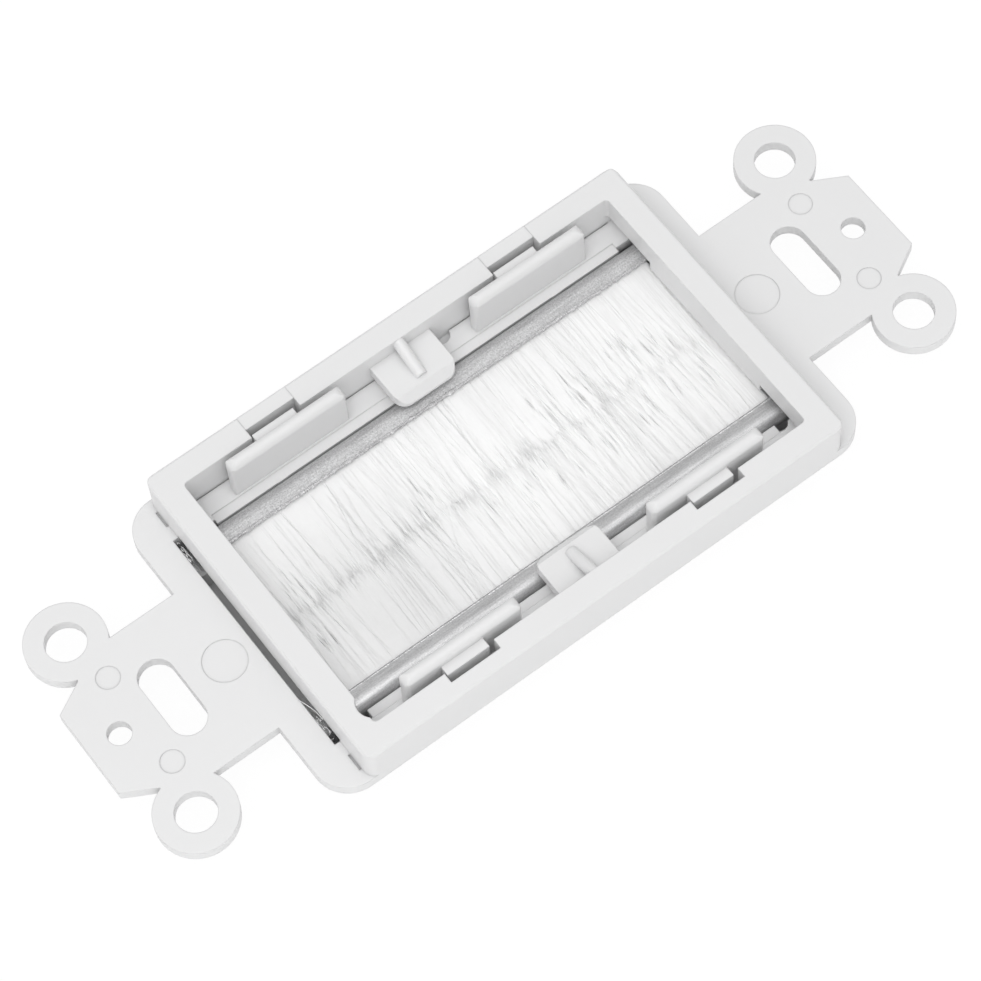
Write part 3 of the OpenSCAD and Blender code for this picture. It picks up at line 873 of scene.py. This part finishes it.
@dataclass
class MouthEdge:
    """The uneven edge of a brush channel, where the bristles leave it."""

    side: Side
    name: str
    seed: int
    half_length: float = 28.4 * MM
    mouth: float = 10.73 * MM
    back: float = 12.08 * MM
    half_depth: float = 1.35 * MM
    jaw_angle: float = math.radians(10.0)
    unevenness: float = 1.0
    along: int = 900
    smoothing: int = 5
    chip: float = 0.16 * MM
    front: float = 0.03 * MM
    front_wander: float = 0.2 * MM
    rear: float = 0.28 * MM
    rear_wander: float = 0.25 * MM
    lifts: tuple[float, ...] = mm(0.01, 0.065, 0.002, -0.03)
    lift_share: tuple[float, float] = (0.4, 1.3)

    def burr(self, rng: np.random.Generator, x: np.ndarray, face: float) -> np.ndarray:
        """Works out the burr on one jaw.

        The jaw's face falls by tan(jaw_angle) from the rounded back to the mouth. The burr's
        section has four points: its front, its crest, its rear and the crest's foot. Its front
        and rear wander with random values that are smoothed over a few steps, and the front is
        chipped at random.

        Args:
            rng: the source of random numbers.
            x: array (along,) of places.
            face: 1 for the rear jaw and -1 for the front one.

        Returns:
            Array (along, 4, 3) of points.
        """
        spare = self.smoothing - 1
        drawn = rng.uniform(-1.0, 1.0, self.along + spare)
        kernel = np.ones(self.smoothing) / self.smoothing
        wander = np.convolve(drawn, kernel, "valid") * self.unevenness
        chips = rng.uniform(0.0, self.chip, self.along) * self.unevenness
        front = self.mouth - self.front - self.front_wander * wander - chips
        rear = self.mouth + self.rear + self.rear_wander * wander
        crest = (front + rear) / 2
        rings = []
        for y, lift in zip((front, crest, rear, crest), self.lifts):
            jaw = self.half_depth - (self.back - y) * math.tan(self.jaw_angle)
            z = ROW_MIDDLE + face * (jaw + lift * rng.uniform(*self.lift_share, self.along))
            rings.append(np.stack([x, y * self.side.value, z], axis=-1))
        ring = np.stack(rings, axis=1)
        return ring[:, ::-1] if face * self.side.value > 0 else ring

    def build(self, finish: bpy.types.Material) -> bpy.types.Object:
        """Makes a thin burr along the edge of each jaw.

        Args:
            finish: the sheet's material.

        Returns:
            The piece.
        """
        rng = np.random.default_rng(self.seed)
        x = np.linspace(-self.half_length, self.half_length, self.along)
        burrs = [self.burr(rng, x, face) for face in (1.0, -1.0)]
        sides = len(self.lifts)
        lid = np.arange(sides)
        faces = []
        for first in (0, sides * self.along):
            last = first + sides * (self.along - 1)
            faces += (ring_faces(self.along, sides) + first).tolist()
            faces += [(first + lid[::-1]).tolist(), (last + lid).tolist()]
        points = np.concatenate([burr.reshape(-1, 3) for burr in burrs])
        piece = make_piece(self.name, points, faces, finish, smooth=False)
        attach(piece, BODY)
        return piece


@dataclass
class LooseEnds:
    """Stray filaments beside the frame: curled ends in the end slot and one long hair.

    The bundles give the middle Y of each bundle of curls and their number.
    """

    name: str = "loose_filaments"
    seed: int = 3
    radius: float = 0.05 * MM
    tube_sides: int = 5
    steps: int = 14
    slot_x: float = -31.3 * MM
    bundles: tuple[tuple[float, int], ...] = ((12.5 * MM, 18), (-12.3 * MM, 10))
    scatter: float = 0.7 * MM
    turn: tuple[float, float] = (1.0, 3.2)
    reach: tuple[float, ...] = mm(0.15, 0.5)
    reach_x: float = 0.55
    reach_y: float = 1.6
    height: tuple[float, ...] = mm(6.2, 6.9)
    climb: float = 0.3 * MM
    hair: tuple[tuple[float, ...], ...] = (
        mm(-31.7, -8.3, 7.18),
        mm(-31.3, -9.4, 7.2),
        mm(-31.05, -10.6, 7.4),
        mm(-31.03, -11.8, 7.6),
    )

    def build(self, finish: bpy.types.Material) -> bpy.types.Object:
        """Makes the curls as arcs x + r cos a, y + r sin a that rise slowly, and the hair.

        Args:
            finish: the filament's material.

        Returns:
            The piece.
        """
        rng = np.random.default_rng(self.seed)
        t = np.linspace(0.0, 1.0, self.steps)
        lines = []
        for middle, count in self.bundles:
            for _ in range(count):
                angle = rng.uniform(0.0, 2 * np.pi) + t * rng.uniform(*self.turn)
                reach = rng.uniform(*self.reach)
                x = self.slot_x + reach * self.reach_x * np.cos(angle)
                y = middle + rng.normal(0.0, self.scatter) + reach * self.reach_y * np.sin(angle)
                z = rng.uniform(*self.height) + self.climb * t
                lines.append(np.stack([x, y, z], axis=-1))
        knots = np.array(self.hair)
        share = np.linspace(0.0, 1.0, len(knots))
        lines.append(np.stack([np.interp(t, share, knots[:, axis]) for axis in range(3)], axis=-1))
        centres = np.stack(lines)
        radii = np.full(centres.shape[:2], self.radius)
        points, faces = many_tubes(centres, radii, np.zeros(len(lines)), self.tube_sides)
        piece = make_piece(self.name, points, faces, finish)
        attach(piece, BODY)
        return piece


@dataclass
class PlateNodes:
    """The CAD nodes that stay as they are, with the finish of each."""

    finishes: dict[str, bpy.types.Material]

    def dress(self, nodes: dict[str, bpy.types.Object]) -> None:
        """Gives each named CAD node its material.

        Args:
            nodes: the frame's nodes by name.
        """
        for name, finish in self.finishes.items():
            mesh = nodes[name].data
            mesh.materials.clear()
            mesh.materials.append(finish)
            LOG.info("%s: dressed with %s", name, finish.name)


# Studio


@dataclass(frozen=True)
class PhotoCamera:
    """The camera fitted to the photo, for a square frame, with its angles in degrees."""

    name: str = "photo_camera"
    azimuth: float = -121.344
    elevation: float = 63.675
    roll: float = -5.969
    distance: float = 401.74 * MM
    target: tuple[float, ...] = mm(-1.683, -1.213, 7.1)
    focal_pixels: float = 3806.6
    photo_pixels: float = 981.0
    sensor: float = 36.0
    nearest: float = 0.01
    farthest: float = 20.0

    def build(self) -> None:
        """Makes the camera and sets it as the scene's own."""
        az, el, roll = (math.radians(v) for v in (self.azimuth, self.elevation, self.roll))
        back = Vector((math.cos(el) * math.cos(az), math.cos(el) * math.sin(az), math.sin(el)))
        level = Vector((-math.sin(az), math.cos(az), 0.0))
        upright = back.cross(level)
        right = level * math.cos(roll) + upright * math.sin(roll)
        up = upright * math.cos(roll) - level * math.sin(roll)
        data = bpy.data.cameras.new(self.name)
        data.sensor_width = self.sensor
        data.lens = self.focal_pixels * self.sensor / self.photo_pixels
        data.clip_start = self.nearest
        data.clip_end = self.farthest
        camera = bpy.data.objects.new(self.name, data)
        place = Vector(self.target) + back * self.distance
        columns = Matrix((right, up, back)).transposed().to_4x4()
        camera.matrix_world = Matrix.Translation(place) @ columns
        bpy.context.scene.collection.objects.link(camera)
        bpy.context.scene.camera = camera


@dataclass(frozen=True)
class AreaLamp:
    """A square soft box that looks at the plate."""

    name: str
    place: tuple[float, float, float]
    size: float
    power: float

    def build(self) -> None:
        """Makes the lamp."""
        data = bpy.data.lights.new(self.name, "AREA")
        data.shape = "SQUARE"
        data.size = self.size
        data.energy = self.power
        lamp = bpy.data.objects.new(self.name, data)
        lamp.location = self.place
        lamp.rotation_mode = "QUATERNION"
        lamp.rotation_quaternion = (-Vector(self.place)).to_track_quat("-Z", "Y")
        bpy.context.scene.collection.objects.link(lamp)


@dataclass(frozen=True)
class Studio:
    """White surroundings, a pale floor and soft boxes."""

    horizon: float = 0.48
    overhead: float = 0.32
    gloss_rise: float = 1.6
    gloss_drop: float = 0.48
    gloss_least: float = 0.35
    floor_half: float = 2.5
    floor_level: float = -0.02 * MM
    floor_colour: float = 0.94
    floor_white: float = 0.92
    floor_glow: float = 1.02
    lamps: tuple[AreaLamp, ...] = (
        AreaLamp("key_box", (-0.22, -0.17, 0.77), size=0.6, power=2.1),
        AreaLamp("side_box", (-0.36, -0.58, 0.46), size=0.6, power=0.95),
    )

    def world(self) -> None:
        """Makes the world: soft light that is stronger overhead, and white to the camera.

        With z as the height of a direction, diffuse light is horizon + overhead z, and gloss sees
        gloss_rise z - gloss_drop, held between gloss_least and the camera's white.
        """
        world = bpy.data.worlds.new("white_surroundings")
        world.use_nodes = True
        bpy.context.scene.world = world
        tree = world.node_tree
        background = tree.nodes["Background"]
        rays = tree.nodes.new("ShaderNodeLightPath").outputs
        split = tree.nodes.new("ShaderNodeSeparateXYZ")
        direction = tree.nodes.new("ShaderNodeTexCoord").outputs["Generated"]
        tree.links.new(direction, split.inputs[0])
        rise = math_node(tree, "MAXIMUM", split.outputs["Z"], 0.0)
        diffuse = math_node(tree, "MULTIPLY", rise, self.overhead)
        strength = math_node(tree, "ADD", diffuse, self.horizon)
        gloss = math_node(tree, "MULTIPLY", rise, self.gloss_rise)
        gloss = math_node(tree, "SUBTRACT", gloss, self.gloss_drop)
        gloss = math_node(tree, "MAXIMUM", math_node(tree, "MINIMUM", gloss, 1.0), self.gloss_least)
        for ray, level in (("Is Glossy Ray", gloss), ("Is Transmission Ray", 1.0),
                           ("Is Camera Ray", 1.0)):
            change = math_node(tree, "SUBTRACT", level, strength)
            share = math_node(tree, "MULTIPLY", change, rays[ray])
            strength = math_node(tree, "ADD", strength, share)
        background.inputs["Color"].default_value = (*WHITE, 1.0)
        tree.links.new(strength, background.inputs["Strength"])

    def floor_material(self) -> bpy.types.Material:
        """Makes the floor's material: diffuse and pale, and nearly all white to the camera.

        Returns:
            The material.
        """
        material = bpy.data.materials.new("pale_floor")
        material.use_nodes = True
        tree = material.node_tree
        tree.nodes.remove(tree.nodes["Principled BSDF"])
        diffuse = tree.nodes.new("ShaderNodeBsdfDiffuse")
        diffuse.inputs["Color"].default_value = (self.floor_colour,) * 3 + (1.0,)
        glow = tree.nodes.new("ShaderNodeEmission")
        glow.inputs["Strength"].default_value = self.floor_glow
        mix = tree.nodes.new("ShaderNodeMixShader")
        to_camera = tree.nodes.new("ShaderNodeLightPath").outputs["Is Camera Ray"]
        white = math_node(tree, "MULTIPLY", to_camera, self.floor_white)
        tree.links.new(white, mix.inputs["Fac"])
        tree.links.new(diffuse.outputs[0], mix.inputs[1])
        tree.links.new(glow.outputs[0], mix.inputs[2])
        tree.links.new(mix.outputs[0], tree.nodes["Material Output"].inputs["Surface"])
        return material

    def floor(self) -> None:
        """Makes the floor, which keeps a faint shadow of the plate."""
        corner = np.array([[-1.0, -1.0], [1.0, -1.0], [1.0, 1.0], [-1.0, 1.0]])
        points = np.full((4, 3), self.floor_level)
        points[:, :2] = corner * self.floor_half
        material = self.floor_material()
        make_piece("floor", points, [[0, 1, 2, 3]], material, smooth=False)

    def build(self) -> None:
        """Makes the surroundings, the floor and the lamps."""
        self.world()
        self.floor()
        for lamp in self.lamps:
            lamp.build()


def main() -> None:
    """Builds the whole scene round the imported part."""
    logging.basicConfig(level=logging.INFO, format="%(name)s: %(message)s")
    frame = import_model()
    bpy.context.scene.view_settings.view_transform = "Standard"

    effects = Effects()
    plastic = MouldedWhite().make(effects)
    sheet = GalvanisedSheet().make(effects)
    # The right channel's sheet is a lit copy of the galvanised sheet. Its colour is raised as
    # painted light, to the brightness that channel shows under the lamps. It is also more metallic,
    # with less speckle and flecks for its smoother face.
    rolled = GalvanisedSheet(name="rolled_sheet_lit_copy", colour=(0.62, 0.62, 0.625), roughness=0.4,
                             speckle=0.3, fleck_depth=0.01 * MM, metallic=0.9).make(effects)
    wire = GalvanisedSheet(name="core_wire_steel", colour=(0.5, 0.5, 0.51),
                           roughness=0.35).make(effects)
    filament = WhiteFilament().make(effects)

    PlateNodes({
        "mounting_frame": plastic,
        "brush_channel_left": sheet,
        "brush_channel_right": rolled,
        "core_wire_left": wire,
        "core_wire_right": wire,
    }).dress(frame["nodes"])
    left_slits = mm(23.1, 21.0, 18.7, 14.5, 12.0, 8.5, -7.0, -24.6)
    right_slits = mm(25.2, 21.3, 16.9, 12.5, 5.8, 2.0, -2.5, -24.8)
    pieces = [
        BristleRow(Side.LEFT, "filaments_left", "bristles_left", seed=11).build(filament),
        BristleRow(Side.RIGHT, "filaments_right", "bristles_right", seed=23).build(filament),
        BristleCore(Side.LEFT, "bristle_core_left", seed=5, slits=left_slits).build(filament),
        BristleCore(Side.RIGHT, "bristle_core_right", seed=7, slits=right_slits).build(filament),
        MouthEdge(Side.LEFT, "mouth_edge_left", seed=31).build(sheet),
        MouthEdge(Side.RIGHT, "mouth_edge_right", seed=37, unevenness=0.15).build(rolled),
        LooseEnds().build(filament),
    ]
    for piece in pieces:
        LOG.info("%s: %d faces", piece.name, len(piece.data.polygons))

    Studio().build()
    PhotoCamera().build()


if __name__ == "__main__":
    main()
